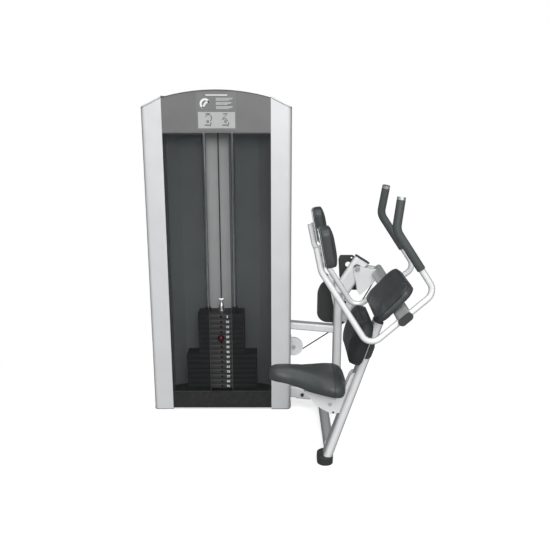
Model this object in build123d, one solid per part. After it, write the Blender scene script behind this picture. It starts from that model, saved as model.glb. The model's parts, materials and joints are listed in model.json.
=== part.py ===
from build123d import *
import os
from math import sin, cos, radians, atan2, degrees, hypot, sqrt

# Seated abdominal crunch machine: weight-stack tower with a seat and swing-arm module on its right.
# Millimetres. +X right (seen from the user side), +Y to the rear, +Z up, floor at Z = 0.
# The seat module is symmetric about MODULE_Y and its seat nose points to -X.
# Pairs of coordinates are (X, Z) unless a comment says otherwise.

ORIGIN_X, ORIGIN_Y = -16.5525, -316.75   # centre of the whole footprint, the origin of the files

# ---- tower
TOWER_X = -285.0                     # tower centre line
COL_IN, COL_OUT = 254.0, 353.0       # column inner and outer faces, from the tower centre
COL_D = 170.0                        # tower depth
COL_FLAT = 77.0                      # flat front of a column
COL_SIDE_Y = 48.0                    # where the rounded front meets the outer side
COL_CHAMFER = 6.0
COL_TOP_IN, COL_TOP_OUT = 1564.0, 1514.0
CAP_T = 8.0                          # column top cover
SHEET = 3.0                          # column, base, header and shroud sheet
TOWER_LEFT, TOWER_RIGHT = TOWER_X - COL_IN, TOWER_X + COL_IN   # bay between the columns
BASE_TOP = 93.0                      # floor of the stack bay
HEADER_Z0, ARCH_Z, ARCH_END = 1405.0, 1600.0, 1565.0
ARCH_T = 4.0
SHROUD_Y, SHROUD_SIDE_Y, SHROUD_FLAT = 125.0, 97.0, 195.0
SLOT_HALF = 55.0                     # half of the open slot between the two shields
SHIELD_T, SHIELD_Z0 = 3.0, 100.7
BEAM_Z0, BEAM_Z1, BEAM_Y0, BEAM_Y1 = 1408.0, 1428.0, 52.0, 93.0   # top beam

# ---- weight stack
ROD_X, ROD_R = 68.5, 10.0
ROD_Y = 72.5                         # plane of the guide rods, pulleys and cables
STACK_Z0, PLATE_T, HEAD_T = 105.0, 26.9, 31.0
PLATE_NARROW, PLATE_WIDE, PLATE_D, PLATE_Y0 = 232.0, 358.0, 95.0, 25.0
N_WIDE, N_FIXED, N_LIFTED = 7, 3, 4  # plates from the bottom up; fixed and lifted are narrow
ROD_HOLE_R = 10.5
PIN_RISE, PIN_HOLE_R = 13.4, 5.5     # selector hole above a plate's underside
PIN_R, KNOB_R, KNOB_Y = 4.9, 17.5, 6.0

# ---- cables and pulleys
CABLE_R = 3.0
TOP_GROOVE_R, LOW_GROOVE_R, TOP_FLANGE_R, LOW_FLANGE_R = 45.0, 38.0, 50.0, 48.0
TOP_Z, TOP_LEFT_X, TOP_RIGHT_X = 1480.0, -240.0, 1.0
LOW_PULLEY = (83.0, 321.0)
GUIDE_PULLEY = (352.0, 503.0)
PULLEY_W, AXLE_R, CLEARANCE = 18.0, 6.0, 0.05
GROOVE_HALF = 3.6                    # half width of a cable groove
PIVOT = (388.0, 760.0)               # swing-arm pivot, axis along Y
CAM_R = 130.0                        # cable radius on the cam
CAM_Y0, CAM_Y1 = 66.5, 78.5
SHAFT_R, BUSH_R = 12.0, 16.0

# ---- seat module
MODULE_Y = -510.0                    # centre plane of the seat module
WALL = 3.0                           # tube wall
POST_X = 300.0
MAIN_FOOT, MAIN_TOP = (209.3, 0.0), (422.7, 652.0)
MAIN_W, MAIN_T = 80.0, 39.0          # main tube section
HEAD_FOOT, HEAD_END = (300.0, 615.0), (413.5, 798.0)   # head tube
BASE_BEAM = (230.0, 52.0)
LINK_X, LINK_Y = 58.0, 64.0          # tower end of both link bars
UPPER_LINK_Z, LOWER_LINK_Z = 443.0, 78.0
SEAT_BOLT = (226.5, 282.0)
LUMBAR_Z = 575.0
ARM_R, ARM_BORE, GRIP_R, END_CAP_R = 12.5, 10.0, 17.0, 16.5
CROSS_BEAM = (488.0, 742.0)
CROSS_Y0, CROSS_Y1 = -760.0, 22.0
CROSS_ANGLE, BACK_PAD_ANGLE = 43.0, 47.0   # section of the cross beam and pad, from the floor

PIECES = []


def piece(build):
    """Register a function whose result is written under the function's name."""
    PIECES.append(build)
    return build


# ------------------------------------------------------------------ helpers
def block(x0, x1, y0, y1, z0, z1):
    centre = Pos((x0 + x1) / 2, (y0 + y1) / 2, (z0 + z1) / 2)
    return centre * Box(abs(x1 - x0), abs(y1 - y0), abs(z1 - z0))


def along(start, end, face):
    """Extrude a face from start to end."""
    axis = Vector(*end) - Vector(*start)
    return extrude(Plane(origin=start, z_dir=axis) * face, amount=axis.length)


def rod(start, end, radius):
    return along(start, end, Circle(radius))


def ring(start, end, radius, inner):
    return along(start, end, Circle(radius) - Circle(inner))


def y_rod(x, z, y0, y1, radius):
    return rod((x, y0, z), (x, y1, z), radius)


def y_ring(x, z, y0, y1, radius, inner):
    return ring((x, y0, z), (x, y1, z), radius, inner)


def oval(start, end, long_dir, width, depth, wall=0.0, radius=None):
    """Flat-sided oval bar, width along long_dir and depth across it, hollow when wall is given.
    A corner radius makes it a rounded rectangle instead."""
    axis = Vector(*end) - Vector(*start)
    unit, wide = axis.normalized(), Vector(*long_dir)
    section = Plane(origin=start, x_dir=wide - unit * wide.dot(unit), z_dir=axis)
    radius = radius or depth / 2 - 0.01
    face = RectangleRounded(width, depth, radius)
    if wall:
        face = face - RectangleRounded(width - 2 * wall, depth - 2 * wall, radius - wall)
    return extrude(section * face, amount=axis.length)


def outline(points, radius):
    if radius:
        return make_face(FilletPolyline(*points, radius=radius, close=True))
    return make_face(Polyline(*points, close=True))


def from_xz(face, y0, y1):
    """Extrude a face drawn in X-Z between two Y planes."""
    plane = Plane(origin=(0, y1, 0), x_dir=(1, 0, 0), z_dir=(0, -1, 0))
    return extrude(plane * face, amount=y1 - y0)


def plate(points, y0, y1, radius=0.0, holes=()):
    """Plate outlined in X-Z, with round holes (x, z, radius)."""
    face = outline(points, radius)
    for x, z, hole_r in holes:
        face = face - Pos(x, z) * Circle(hole_r)
    return from_xz(face, y0, y1)


def plan(points, z0, z1, radius=0.0):
    """Plate outlined in X-Y."""
    return extrude(Plane(origin=(0, 0, z0)) * outline(points, radius), amount=z1 - z0)


def slab(centre, normal, height, width, radius, thickness):
    """Rounded slab, width along Y, growing from centre along normal."""
    plane = Plane(origin=centre, x_dir=(0, 1, 0), z_dir=normal)
    return extrude(plane * RectangleRounded(width, height, radius), amount=thickness)


def tube(line, radius, inner=0.0):
    face = Circle(radius) - Circle(inner) if inner else Circle(radius)
    return sweep(Plane(origin=line @ 0, z_dir=line % 0) * face, path=line)


def mirror_tower(shape):
    return mirror(shape, about=Plane(origin=(TOWER_X, 0, 0), z_dir=(1, 0, 0)))


def group(*shapes):
    return Compound(children=[solid for shape in shapes for solid in shape.solids()])


# ------------------------------------------------------------------ tower columns
def column_bar(inset):
    """Tall right-hand column, its outline drawn in by inset."""
    inner, outer = COL_IN + inset, COL_OUT - inset
    back = COL_D - inset
    flat_end = COL_IN + COL_FLAT - inset * 0.3
    face = make_face(
        Polyline((inner, back), (inner, inset), (flat_end, inset))
        + Spline((flat_end, inset), (outer, COL_SIDE_Y), tangents=[(1, 0.06), (0, 1)])
        + Polyline((outer, COL_SIDE_Y), (outer, back - COL_CHAMFER),
                   (outer - COL_CHAMFER, back), (inner, back))
    )
    return extrude(face, amount=1700)


def slanted(rise, depth=0.0):
    """All below the slanted column top raised by rise, down to the floor or by depth."""
    over = 8
    slope = (COL_TOP_OUT - COL_TOP_IN) / (COL_OUT - COL_IN)
    x0, x1 = COL_IN - over, COL_OUT + over
    top0 = COL_TOP_IN - slope * over + rise
    top1 = COL_TOP_OUT + slope * over + rise
    low0, low1 = (top0 - depth, top1 - depth) if depth else (0, 0)
    return plate([(x0, low0), (x1, low1), (x1, top1), (x0, top0)], -10, COL_D + 10)


column_solid = column_bar(0) & slanted(0)
column_shell = column_solid - Pos(0, 0, 6) * column_bar(SHEET)
right_column_full = Pos(TOWER_X, 0, 0) * column_solid
beam_gate = block(COL_IN - 5, COL_IN + 8, BEAM_Y0, BEAM_Y1, BEAM_Z0, BEAM_Z1)


@piece
def right_column():
    low_z, half = LOW_PULLEY[1], 62
    shell = (column_shell - beam_gate
             - block(COL_IN - 5, COL_IN + 8, 58, 87, BEAM_Z1, 1542)
             - block(COL_OUT - 8, COL_OUT + 5, 60, 85, low_z - half, low_z + half))
    return Pos(TOWER_X, 0, 0) * shell


@piece
def left_column():
    return mirror_tower(Pos(TOWER_X, 0, 0) * (column_shell - beam_gate))


@piece
def column_caps():
    # cover plus a plug that fits inside the column
    cap = (column_bar(0) & slanted(CAP_T, CAP_T)) + (column_bar(SHEET + 0.3) & slanted(0, 5.0))
    cap = Pos(TOWER_X, 0, 0) * cap
    return group(cap, mirror_tower(cap))


# ------------------------------------------------------------------ tower panels
@piece
def tower_base():
    back = COL_D - 6
    base = block(TOWER_LEFT, TOWER_RIGHT, 0, back, 10, BASE_TOP)
    base = base - block(TOWER_LEFT + SHEET, TOWER_RIGHT - SHEET, SHEET, back - SHEET,
                        9, BASE_TOP - 4)
    return base + block(TOWER_LEFT, TOWER_RIGHT, 0, SHIELD_T, BASE_TOP, SHIELD_Z0)


def shroud_line(offset):
    side, middle = SHROUD_SIDE_Y + offset, SHROUD_Y + offset
    return [(TOWER_LEFT, side), (TOWER_X - SHROUD_FLAT, middle),
            (TOWER_X + SHROUD_FLAT, middle), (TOWER_RIGHT, side)]


@piece
def rear_shroud():
    left, right = TOWER_LEFT - 5, TOWER_RIGHT + 5
    limit = plate([(left, 0), (right, 0), (right, 1540), (TOWER_X, 1575), (left, 1540)], 0, 200)
    sheet_line = shroud_line(0) + shroud_line(SHEET)[::-1]
    return plan(sheet_line, BASE_TOP, ARCH_Z) & limit


ARCH_R = (COL_IN ** 2 + (ARCH_Z - ARCH_END) ** 2) / (2 * (ARCH_Z - ARCH_END))


def arch_disc(offset):
    return Pos(TOWER_X, ARCH_Z - ARCH_R) * Circle(ARCH_R + offset)


def arch_window(z_low):
    return Pos(TOWER_X, z_low + 150) * Rectangle(TOWER_RIGHT - TOWER_LEFT, 300)


@piece
def header_panel():
    panel = from_xz(arch_disc(-ARCH_T) & arch_window(HEADER_Z0), 0, SHEET)
    return panel + block(TOWER_LEFT, TOWER_RIGHT, 0, 18, HEADER_Z0, HEADER_Z0 + SHEET)


@piece
def arch_trim():
    face = (arch_disc(0.0) & arch_window(1480.0)) - arch_disc(-ARCH_T)
    return from_xz(face, -1.0, 128.0) & block(TOWER_LEFT, TOWER_RIGHT, -2, 140, 1500, 1605)


@piece
def instruction_placard():
    left, right, low, high = TOWER_X - 91.5, TOWER_X + 96.5, 1414, 1587
    corners = [(left, low), (right, low), (right, high), (left, high)]
    return plate(corners, -2.0, 0.0, radius=3.0)


@piece
def front_shields():
    edge, top = TOWER_X + SLOT_HALF, HEADER_Z0 - 4
    shield = (block(edge, TOWER_RIGHT, 0, SHIELD_T, SHIELD_Z0, top)
              + block(edge, edge + SHIELD_T, 0, 14, SHIELD_Z0, top))
    return group(shield, mirror_tower(shield))


# ------------------------------------------------------------------ guide rods, stack, top beam
RODS = [(TOWER_X - ROD_X, ROD_Y), (TOWER_X + ROD_X, ROD_Y)]   # (X, Y)


def plate_z(index):
    """Underside of a plate, counted from the bottom."""
    return STACK_Z0 + index * PLATE_T


N_PLATES = N_WIDE + N_FIXED + N_LIFTED
HEAD_Z = plate_z(N_PLATES)
HEAD_TOP = HEAD_Z + HEAD_T
SELECT_Z = plate_z(N_WIDE + N_FIXED) + PIN_RISE
CONNECTOR_TOP = HEAD_TOP + 70


def on_rods(z0, z1, radius, inner):
    return group(*[ring((x, y, z0), (x, y, z1), radius, inner) for x, y in RODS])


def stem_rod(z0, z1, radius):
    """Upright rod on the stack's centre line."""
    return rod((TOWER_X, ROD_Y, z0), (TOWER_X, ROD_Y, z1), radius)


@piece
def guide_rods():
    return group(*[rod((x, y, BASE_TOP), (x, y, BEAM_Z0), ROD_R) for x, y in RODS])


@piece
def stack_bumpers():
    return on_rods(BASE_TOP, STACK_Z0, 22, ROD_R)


@piece
def rod_collars():
    return on_rods(HEAD_TOP, HEAD_TOP + 24, 13.5, ROD_HOLE_R)


@piece
def top_beam():
    beam = block(TOWER_X - 284, TOWER_X + 316, BEAM_Y0, BEAM_Y1, BEAM_Z0, BEAM_Z1)
    return beam - stem_rod(BEAM_Z0 - 5, BEAM_Z1 + 5, 8)


def weight(width, z0, thickness):
    body = block(TOWER_X - width / 2, TOWER_X + width / 2, PLATE_Y0, PLATE_Y0 + PLATE_D,
                 z0, z0 + thickness)
    body = fillet(body.edges().filter_by(Axis.Z), 4)
    body = chamfer(body.faces().sort_by(Axis.Z)[-1].edges(), 1.3)
    for x, y in RODS + [(TOWER_X, ROD_Y)]:
        body = body - rod((x, y, z0 - 5), (x, y, z0 + thickness + 5), ROD_HOLE_R)
    return body - y_rod(TOWER_X, z0 + PIN_RISE, PLATE_Y0 - 5, ROD_Y + 26, PIN_HOLE_R)


def weights(width, first, count):
    return group(*[weight(width, plate_z(i), PLATE_T) for i in range(first, first + count)])


@piece
def wide_plates():
    return weights(PLATE_WIDE, 0, N_WIDE)


@piece
def fixed_narrow_plates():
    return weights(PLATE_NARROW, N_WIDE, N_FIXED)


@piece
def lifted_plates():
    return weights(PLATE_NARROW, N_WIDE + N_FIXED, N_LIFTED)


@piece
def head_plate():
    return weight(PLATE_NARROW, HEAD_Z, HEAD_T)


@piece
def selector_stem():
    stem = stem_rod(108.0, HEAD_TOP, 10.0)
    for i in range(N_PLATES + 1):
        hole_z = plate_z(i) + PIN_RISE
        stem = stem - y_rod(TOWER_X, hole_z, ROD_Y - 14, ROD_Y + 14, PIN_HOLE_R)
    return stem


@piece
def cable_connector():
    body_r, taper_z, eye_z = 12.5, HEAD_TOP + 28, HEAD_TOP + 62
    cone = Plane(origin=(TOWER_X, ROD_Y, taper_z)) * Circle(body_r)
    return (stem_rod(HEAD_TOP, HEAD_TOP + 7, 17)
            + stem_rod(HEAD_TOP + 7, taper_z, body_r)
            + extrude(cone, amount=20, taper=16)
            + stem_rod(HEAD_TOP + 48, HEAD_TOP + 58, 6.5)
            + rod((TOWER_X - 11, ROD_Y, eye_z), (TOWER_X + 11, ROD_Y, eye_z), 5.5)
            + stem_rod(HEAD_TOP + 56, CONNECTOR_TOP, 5))


@piece
def selector_pin():
    return y_rod(TOWER_X, SELECT_Z, KNOB_Y, ROD_Y + 22, PIN_R)


@piece
def pin_knob():
    ball = Pos(TOWER_X, KNOB_Y, SELECT_Z) * Sphere(KNOB_R)
    return ball - y_rod(TOWER_X, SELECT_Z, KNOB_Y, KNOB_Y + 30, PIN_R)


# ------------------------------------------------------------------ pulleys and their brackets
def pulley(x, z, groove_r, flange_r):
    y0, y1 = ROD_Y - PULLEY_W / 2, ROD_Y + PULLEY_W / 2
    recess_r, hub_r, recess = groove_r - 8, 15, 3
    wheel = y_rod(x, z, y0, y1, flange_r)
    wheel = wheel - y_ring(x, z, ROD_Y - GROOVE_HALF, ROD_Y + GROOVE_HALF,
                           flange_r + 5, groove_r - CABLE_R - 0.05)
    wheel = (wheel - y_ring(x, z, y0 - 1, y0 + recess, recess_r, hub_r)
             - y_ring(x, z, y1 - recess, y1 + 1, recess_r, hub_r))
    return wheel - y_rod(x, z, y0 - 5, y1 + 5, AXLE_R + CLEARANCE)


@piece
def top_left_pulley():
    return pulley(TOP_LEFT_X, TOP_Z, TOP_GROOVE_R, TOP_FLANGE_R)


@piece
def top_right_pulley():
    return pulley(TOP_RIGHT_X, TOP_Z, TOP_GROOVE_R, TOP_FLANGE_R)


@piece
def lower_pulley():
    return pulley(*LOW_PULLEY, LOW_GROOVE_R, LOW_FLANGE_R)


@piece
def guide_pulley():
    return pulley(*GUIDE_PULLEY, LOW_GROOVE_R, LOW_FLANGE_R)


def cheek(x, y0, y1):
    """Upright plate on the top beam that carries a top pulley axle."""
    left, right, top = x - 16, x + 16, TOP_Z + 16
    corners = [(left, BEAM_Z1), (right, BEAM_Z1), (right, top), (left, top)]
    return plate(corners, y0, y1, holes=[(x, TOP_Z, AXLE_R)])


def lower_bracket():
    x, z = LOW_PULLEY
    wall_x = TOWER_X + COL_OUT
    points = [(wall_x, z - 30), (x + 14, z - 16), (x + 14, z + 16), (wall_x, z + 30)]
    arm = plate(points, 84, 90, holes=[(x, z, AXLE_R)])
    return arm + block(wall_x, wall_x + 4, 90, 130, z - 45, z + 45)


def guide_bracket():
    x, z = GUIDE_PULLEY
    points = [(POST_X - 10, 470), (x + 16, 485), (x + 16, 521), (POST_X - 10, 535)]
    arm = plate(points, 40.5, 46.5, holes=[(x, z, AXLE_R)])
    return arm + block(POST_X - 10, POST_X + 10, 38, 41, 475, 530)


@piece
def pulley_brackets():
    cheeks = [cheek(x, y0, y1) for x in (TOP_LEFT_X, TOP_RIGHT_X)
              for y0, y1 in ((58.0, 62.0), (83.0, 87.0))]
    return group(*cheeks, lower_bracket(), guide_bracket() - post_full)


@piece
def pulley_axles():
    collar_r = 10
    tops = [y_rod(x, TOP_Z, 56, 89, AXLE_R) for x in (TOP_LEFT_X, TOP_RIGHT_X)]
    lower = y_rod(*LOW_PULLEY, 60, 92, AXLE_R) + y_rod(*LOW_PULLEY, 57, 61.5, collar_r)
    guide = (y_rod(*GUIDE_PULLEY, 40.5, 86, AXLE_R)
             + y_ring(*GUIDE_PULLEY, 46.5, 62.5, collar_r, AXLE_R - 1)
             + y_rod(*GUIDE_PULLEY, 82.5, 88, collar_r))
    return group(*tops, lower, guide)


# ------------------------------------------------------------------ seat-module frame
MAIN_LEN = hypot(MAIN_TOP[0] - MAIN_FOOT[0], MAIN_TOP[1] - MAIN_FOOT[1])
MAIN_DX = (MAIN_TOP[0] - MAIN_FOOT[0]) / MAIN_LEN    # unit direction of the main tube
MAIN_DZ = (MAIN_TOP[1] - MAIN_FOOT[1]) / MAIN_LEN


def on_main(z, offset=0.0):
    """Point at height z on the main tube's axis, then offset across it towards +X."""
    return (MAIN_FOOT[0] + MAIN_DX * z / MAIN_DZ + MAIN_DZ * offset, z - MAIN_DX * offset)


UPPER_X, UPPER_Z = on_main(535.0, -4.0)              # upper beam axis, along Y
HEAD_DIR = Vector(HEAD_END[0] - HEAD_FOOT[0], 0, HEAD_END[1] - HEAD_FOOT[1]).normalized()
HEAD_ACROSS = (HEAD_DIR.Z, 0, -HEAD_DIR.X)


def main_bar(wall=0.0):
    start = (MAIN_FOOT[0] - MAIN_DX * 30, MODULE_Y, MAIN_FOOT[1] - MAIN_DZ * 30)
    end = (MAIN_TOP[0], MODULE_Y, MAIN_TOP[1])
    return oval(start, end, (0, 1, 0), MAIN_W, MAIN_T, wall)


def upper_bar(y_end, wall=0.0):
    start = (UPPER_X, MODULE_Y - 40.0, UPPER_Z)
    return oval(start, (UPPER_X, y_end, UPPER_Z), (MAIN_DX, 0, MAIN_DZ), 75, 38, wall)


def head_bar(wall=0.0):
    start, end = (HEAD_FOOT[0], 0, HEAD_FOOT[1]), (HEAD_END[0], 0, HEAD_END[1])
    return oval(start, end, HEAD_ACROSS, 80, 40, wall)


def base_bar(wall=0.0):
    x, z = BASE_BEAM
    return oval((x, MODULE_Y + 20, z), (x, 17.0, z), (0, 0, 1), 80, 42, wall)


def link_bar(z, height, depth, wall=0.0):
    start, end = (LINK_X, LINK_Y, z), (POST_X, 0, z)
    return oval(start, end, (0, 0, 1), height, depth, wall, radius=8)


def post_bar(z0, z1, inset=0.0):
    start, end = (POST_X, 0, z0), (POST_X, 0, z1)
    return oval(start, end, (0, 1, 0), 80 - 2 * inset, 42 - 2 * inset)


# solid bodies that neighbouring pieces are cut against
main_full = main_bar()
above_floor = block(100, 600, -700, 200, 12, 900)
upper_full = upper_bar(30.0)
post_full = post_bar(12, 640)
post_void = post_bar(9, 636, WALL)
head_full = head_bar()
base_full = base_bar()
lower_link_full = link_bar(LOWER_LINK_Z, 60, 40)


@piece
def main_tube():
    return (main_bar(WALL) & above_floor) - upper_full


@piece
def base_beam():
    return base_bar(WALL) - main_full - lower_link_full


@piece
def rear_post():
    return post_full - post_void


@piece
def head_tube():
    return (head_bar(WALL) + y_rod(*PIVOT, -20, 20, 21)
            - post_full - y_rod(*PIVOT, -40, 40, BUSH_R))


@piece
def pivot_bushes():
    bore_r = SHAFT_R + CLEARANCE
    bush = y_ring(*PIVOT, -20, -1, BUSH_R, bore_r) + y_ring(*PIVOT, -21.5, -20, 19, bore_r)
    return group(bush, mirror(bush, about=Plane(origin=(0, 0, 0), z_dir=(0, 1, 0))))


@piece
def upper_beam():
    # the gusset joins the beam to the post; the beam is cleared around the guide pulley
    points = [(POST_X + 15, 560), (355, 524), (UPPER_X, 506), (UPPER_X + 2, 570),
              (334, 599), (POST_X + 15, 603)]
    gusset = plate(points, -9, 9, radius=5) - upper_full - head_full
    return ((upper_bar(20.0, WALL) + gusset)
            - post_full - y_rod(*GUIDE_PULLEY, 21, 100, 60) - guide_bracket())


@piece
def tube_caps():
    cap_t, end_y = 6.0, MODULE_Y - 40.0
    return group(
        oval((UPPER_X, end_y - cap_t, UPPER_Z), (UPPER_X, end_y, UPPER_Z),
             (MAIN_DX, 0, MAIN_DZ), 77, 40),
        oval((MAIN_TOP[0], MODULE_Y, MAIN_TOP[1]),
             (MAIN_TOP[0] + MAIN_DX * cap_t, MODULE_Y, MAIN_TOP[1] + MAIN_DZ * cap_t),
             (0, 1, 0), MAIN_W, MAIN_T),
        oval((HEAD_END[0], 0, HEAD_END[1]),
             (HEAD_END[0] + HEAD_DIR.X * cap_t, 0, HEAD_END[1] + HEAD_DIR.Z * cap_t),
             HEAD_ACROSS, 82, 42))


def foot_blank(x, y, length, width, corner, height, edge):
    foot = extrude(Plane(origin=(x, y, 0)) * RectangleRounded(length, width, corner),
                   amount=height)
    return fillet(foot.faces().sort_by(Axis.Z)[-1].edges(), edge)


@piece
def rubber_feet():
    front = foot_blank(210.0, MODULE_Y, 70, 94, 33, height=38, edge=7)
    rear = foot_blank(POST_X, 0, 62, 98, 24, height=30, edge=5)
    return group(front - (main_full & above_floor) - base_full, rear - post_full)


# ------------------------------------------------------------------ links to the tower
LINK_DIR = Vector(POST_X - LINK_X, -LINK_Y, 0).normalized()


def on_link(distance, offset, z):
    """Point at a distance along the links from the tower end, then offset sideways."""
    return (LINK_X + LINK_DIR.X * distance + LINK_DIR.Y * offset,
            LINK_Y + LINK_DIR.Y * distance - LINK_DIR.X * offset, z)


@piece
def upper_link_bar():
    return link_bar(UPPER_LINK_Z, 37, 50, WALL) - right_column_full - post_full


@piece
def lower_link_bar():
    return link_bar(LOWER_LINK_Z, 60, 40, WALL) - right_column_full - post_full


@piece
def link_sleeve():
    start, end = on_link(46.0, 0, LOWER_LINK_Z), on_link(118.0, 0, LOWER_LINK_Z)
    return oval(start, end, (0, 0, 1), 66, 46, radius=10) - lower_link_full


# ------------------------------------------------------------------ seat
SEAT_HALF = [(-35, 30), (-8, 54), (60, 72), (150, 108), (215, 138), (262, 142), (286, 104)]
BOARD_HALF = [(112, 62), (150, 82), (246, 108)]
# both: X, half width about MODULE_Y


def symmetric(half):
    return ([(x, MODULE_Y - width) for x, width in half]
            + [(x, MODULE_Y + width) for x, width in reversed(half)])


def under(x, rise=0.0):
    """Point on the seat's underside, which rises towards the nose, moved up by rise."""
    return (x, 387.0 - 0.146 * (x + 33.0) + rise)


@piece
def seat_pad():
    side = [under(-40), under(290), (290, 432), (120, 444), (0, 452), (-40, 450)]
    return (plan(symmetric(SEAT_HALF), 330, 470, radius=14)
            & plate(side, MODULE_Y - 160, MODULE_Y + 160, radius=20))


def seat_board():
    side = [under(50, -8), under(250, -8), under(250), under(50)]
    return (plan(symmetric(BOARD_HALF), 300, 460, radius=12)
            & plate(side, MODULE_Y - 200, MODULE_Y + 200))


@piece
def seat_bracket():
    side = [under(122, -8), (113, 348), (135, 316), (157.9, 286.1), (182.7, 264.6),
            (208.8, 250), (234.8, 236), (291, 244), (338, 430), (318, 424), (309, 413),
            (289, 358), under(288, -8)]
    flange = [under(122, -8), under(122, -14), under(262, -14), under(262, -8)]
    hole = [(*SEAT_BOLT, 6)]
    bracket = (plate(side, MODULE_Y - 22, MODULE_Y - 16, holes=hole)
               + plate(side, MODULE_Y + 16, MODULE_Y + 22, holes=hole)
               + plate(flange, MODULE_Y - 38, MODULE_Y + 38))
    return bracket - main_full


@piece
def frame_bolts():
    sleeve_bolts = [rod(on_link(80.0, side * 23.0, 72), on_link(80.0, side * 31.0, 72), 8.5)
                    for side in (1, -1)]
    seat_bolt = (y_rod(*SEAT_BOLT, MODULE_Y - 27, MODULE_Y + 27, 6)
                 + y_rod(*SEAT_BOLT, MODULE_Y - 27, MODULE_Y - 22, 8)
                 + y_rod(*SEAT_BOLT, MODULE_Y + 22, MODULE_Y + 27, 8))
    slot_key = plate([(275, 662), (285, 662), (285, 696), (275, 696)], -11, -6, radius=4.5)
    head_bolt = y_rod(311, 633, -46, -34, 9) - head_full - post_full
    return group(*sleeve_bolts, seat_bolt, slot_key, head_bolt)


# ------------------------------------------------------------------ lumbar pad and boards
def lumbar(near, far, height, width, radius):
    """Slab square to the main tube, between two distances on its -X side."""
    x, z = on_main(LUMBAR_Z, -near)
    normal = (-MAIN_DZ, 0, MAIN_DX)
    return slab((x, MODULE_Y, z), normal, height, width, radius, far - near)


@piece
def cushion_boards():
    spacer = lumbar(MAIN_T / 2 - 3, 33.0, 110, 60, 8) - main_full - upper_full
    return group(seat_board(), lumbar(33.0, 39.0, 160, 290, 30) + spacer)


@piece
def lumbar_pad():
    pad = lumbar(39.0, 99.0, 186, 338, 60)
    return fillet(pad.faces().sort_by(Axis.X)[0].edges(), 14)


# ------------------------------------------------------------------ guard and stop on the post
# X, Z, corner radius
GUARD = [(203, 446, 55), (204, 610, 98), (222, 652, 68), (262, 676, 58),
         (326, 676, 30), (366, 575, 30), (366, 470, 14), (338, 437, 14)]
STOP = [(240, 704), (250, 722), (262, 724), (300, 700), (300, 575), (279, 560), (262, 640)]


@piece
def pulley_guard():
    corners = [(x, z) for x, z, _ in GUARD]
    guard = (plate(corners, 98, 102, radius=tuple(radius for _, _, radius in GUARD))
             + y_rod(POST_X - 12, 632, 36, 98, 8) + y_rod(POST_X - 14, 460, 36, 98, 8))
    return guard - post_full - post_void


@piece
def stop_bracket():
    return plate(STOP, -6, 0) - post_full - head_full


@piece
def stop_bumpers():
    return group(rod((244, -3, 716), (232, -3, 726), 9) - plate(STOP, -6, 0),
                 y_rod(333, 584, -19, -9, 7.5))


# ------------------------------------------------------------------ swing arm
# X, Z, distance from MODULE_Y
ARM = [(145, 1020, 245), (165, 926, 245), (353, 630, 250),
       (608, 835, 200), (447, 1075, 195), (464, 1199, 180)]
BEND_RADII = [60, 46, 46, 60]
SIDES = (-1, 1)                      # front arm, rear arm


def arm_points(side):
    return [Vector(x, MODULE_Y + side * offset, z) for x, z, offset in ARM]


def below_tip(points, distance):
    return points[5] - (points[5] - points[4]).normalized() * distance


def arm_tube(side, inner=0.0):
    points = arm_points(side)
    line = FilletPolyline(*points[:5], below_tip(points, 3), radius=BEND_RADII)
    return tube(line, ARM_R, inner)


arm_full = {side: arm_tube(side) for side in SIDES}


@piece
def arm_tubes():
    return group(*[arm_tube(side, ARM_BORE) for side in SIDES])


@piece
def hand_grips():
    grips = []
    for side in SIDES:
        points = arm_points(side)
        start = points[3] + (points[4] - points[3]) * 0.371
        line = FilletPolyline(start, points[4], below_tip(points, 12), radius=60)
        grips.append(tube(line, GRIP_R, ARM_R))
    return group(*grips)


@piece
def grip_end_caps():
    caps = []
    for side in SIDES:
        points = arm_points(side)
        cap = rod(tuple(below_tip(points, 12)), tuple(points[5]), END_CAP_R)
        caps.append(cap - arm_full[side])
    return group(*caps)


def cross_bar(y0, y1, width, depth, wall=0.0):
    x, z = CROSS_BEAM
    wide = (cos(radians(CROSS_ANGLE)), 0, sin(radians(CROSS_ANGLE)))
    return oval((x, y0, z), (x, y1, z), wide, width, depth, wall)


cross_full = cross_bar(CROSS_Y0, CROSS_Y1, 62, 30)


@piece
def cross_beam():
    return cross_bar(CROSS_Y0, CROSS_Y1, 62, 30, WALL) - arm_full[-1] - arm_full[1]


@piece
def cross_beam_cap():
    return cross_bar(CROSS_Y0 - 6, CROSS_Y0, 64, 32)


@piece
def clevis_plates():
    points = [(370, 744), (370, 764), (388, 773), (422, 764), (504, 753),
              (517, 734), (437, 654), (404, 622), (394, 640), (384, 690)]
    return group(*[plate(points, y0, y0 + 6, radius=6, holes=[(*PIVOT, SHAFT_R)]) - cross_full
                   for y0 in (-28, 22)])


@piece
def pivot_shaft():
    x, z = PIVOT
    head = extrude(Plane(origin=(x, -28, z), z_dir=(0, -1, 0)) * RegularPolygon(14.5, 6),
                   amount=9)
    nut = extrude(Plane(origin=(x, 79, z), z_dir=(0, 1, 0)) * RegularPolygon(17, 6), amount=10)
    return y_rod(x, z, -28, 79, SHAFT_R) + head + nut


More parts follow.
